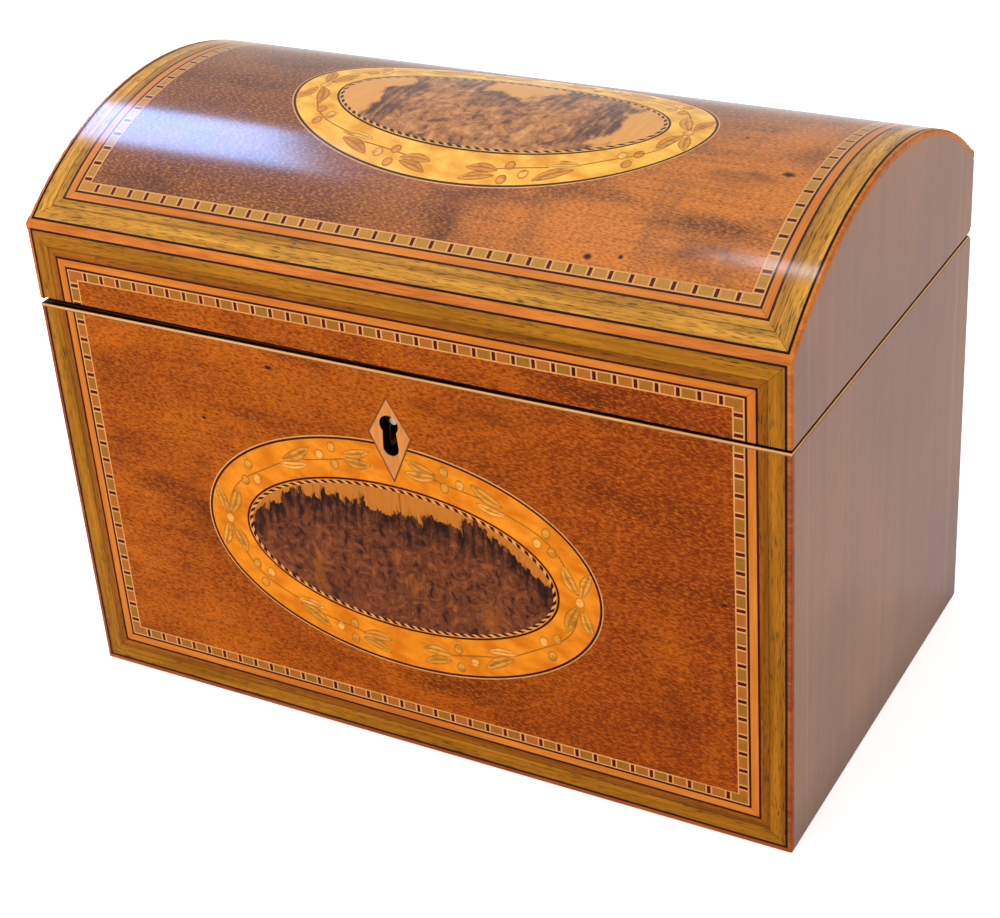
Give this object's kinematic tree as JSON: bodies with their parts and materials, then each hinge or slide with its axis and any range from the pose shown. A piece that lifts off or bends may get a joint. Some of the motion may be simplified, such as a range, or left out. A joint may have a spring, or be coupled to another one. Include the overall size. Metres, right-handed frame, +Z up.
{
  "type": "tea caddy",
  "caption": "Antique domed box with a hinged lid, inlaid borders and oval medallions, a keyhole escutcheon and two lidded tea compartments inside.",
  "frame": {"origin": "centre of the underside, on the surface that the caddy stands on", "axes": "+Z up, +X to the right seen from the front, +Y from the keyhole front to the hinged back"},
  "size_m": [0.2, 0.1176, 0.1518],
  "materials": {
    "carcass_mahogany": "wax polished mahogany",
    "carcass_pine": "bare pine",
    "harewood_field": "french polished veneer",
    "dome_field": "french polished veneer, faded",
    "side_veneer": "faded veneer, dulled polish",
    "ebonised_line": "black dyed pearwood, polished",
    "crossbanding": "french polished kingwood and satinwood banding",
    "boxwood": "french polished boxwood",
    "holly": "french polished holly",
    "dyed_sycamore": "dyed sycamore and boxwood blocks, polished",
    "satinwood": "french polished satinwood",
    "rope_string": "twisted ebonised and holly string, polished",
    "burr": "french polished burr with sapwood",
    "escutcheon_wood": "polished pale wood",
    "brass": "aged unlacquered brass",
    "steel": "dull wrought steel",
    "tin_foil": "tin and lead foil over thin wood",
    "bone": "turned and polished bone",
    "baize": "worn green baize"
  },
  "bodies": {
    "case": {"back_board": "carcass_mahogany", "base_baize": "baize", "base_board": "carcass_pine", "case_back_veneer": "side_veneer", "case_black_lines": "ebonised_line", "case_boxwood_stringing": "boxwood", "case_corner_strings": "boxwood", "case_crossbanding": "crossbanding", "case_dentil_blocks": "dyed_sycamore", "case_dentil_teeth": "ebonised_line", "case_hinge_leaves": "brass", "case_holly_lines": "holly", "case_screws": "steel", "case_side_veneers": "side_veneer", "compartment_divider": "carcass_mahogany", "escutcheon": "escutcheon_wood", "front_board": "carcass_mahogany", "front_field_veneer": "harewood_field", "front_oval_burr": "burr", "front_oval_lines": "ebonised_line", "front_oval_ring": "satinwood", "front_oval_rope": "rope_string", "hinge_pins": "steel", "left_board": "carcass_mahogany", "left_liner": "tin_foil", "lock_case": "brass", "lock_pins": "steel", "lock_plate": "brass", "right_board": "carcass_mahogany", "right_liner": "tin_foil", "rim_strings": "holly"},
    "lid": {"dome_field_veneer": "dome_field", "dome_oval_burr": "burr", "dome_oval_lines": "ebonised_line", "dome_oval_ring": "satinwood", "dome_oval_rope": "rope_string", "lid_back_board": "carcass_mahogany", "lid_back_veneer": "side_veneer", "lid_black_lines": "ebonised_line", "lid_boxwood_stringing": "boxwood", "lid_corner_strings": "boxwood", "lid_crossbanding": "crossbanding", "lid_dentil_blocks": "dyed_sycamore", "lid_dentil_teeth": "ebonised_line", "lid_dome_panel": "carcass_pine", "lid_front_board": "carcass_mahogany", "lid_front_field_veneer": "harewood_field", "lid_hinge_leaves": "brass", "lid_holly_lines": "holly", "lid_left_end": "carcass_mahogany", "lid_right_end": "carcass_mahogany", "lid_screws": "steel", "lid_side_veneers": "side_veneer", "link_plate": "brass"},
    "lock_bolt": {"lock_bolt": "steel"},
    "left_inner_lid": {"left_inner_lid": "carcass_mahogany", "left_knob": "bone"},
    "right_inner_lid": {"right_inner_lid": "carcass_mahogany", "right_knob": "bone"}
  },
  "joints": [
    {"name": "lid_hinge", "type": "hinge", "parent": "case", "child": "lid", "pos_m": [0, 0.0572, 0.10835], "axis": [-1, 0, 0], "range_deg": [0, 95]},
    {"name": "bolt_slide", "type": "slide", "parent": "case", "child": "lock_bolt", "axis": [1, 0, 0], "range_m": [0, 0.0036]},
    {"name": "left_inner_lid_lift", "type": "slide", "parent": "case", "child": "left_inner_lid", "axis": [0, 0, 1], "range_m": [0, 0.02]},
    {"name": "right_inner_lid_lift", "type": "slide", "parent": "case", "child": "right_inner_lid", "axis": [0, 0, 1], "range_m": [0, 0.02]}
  ]
}
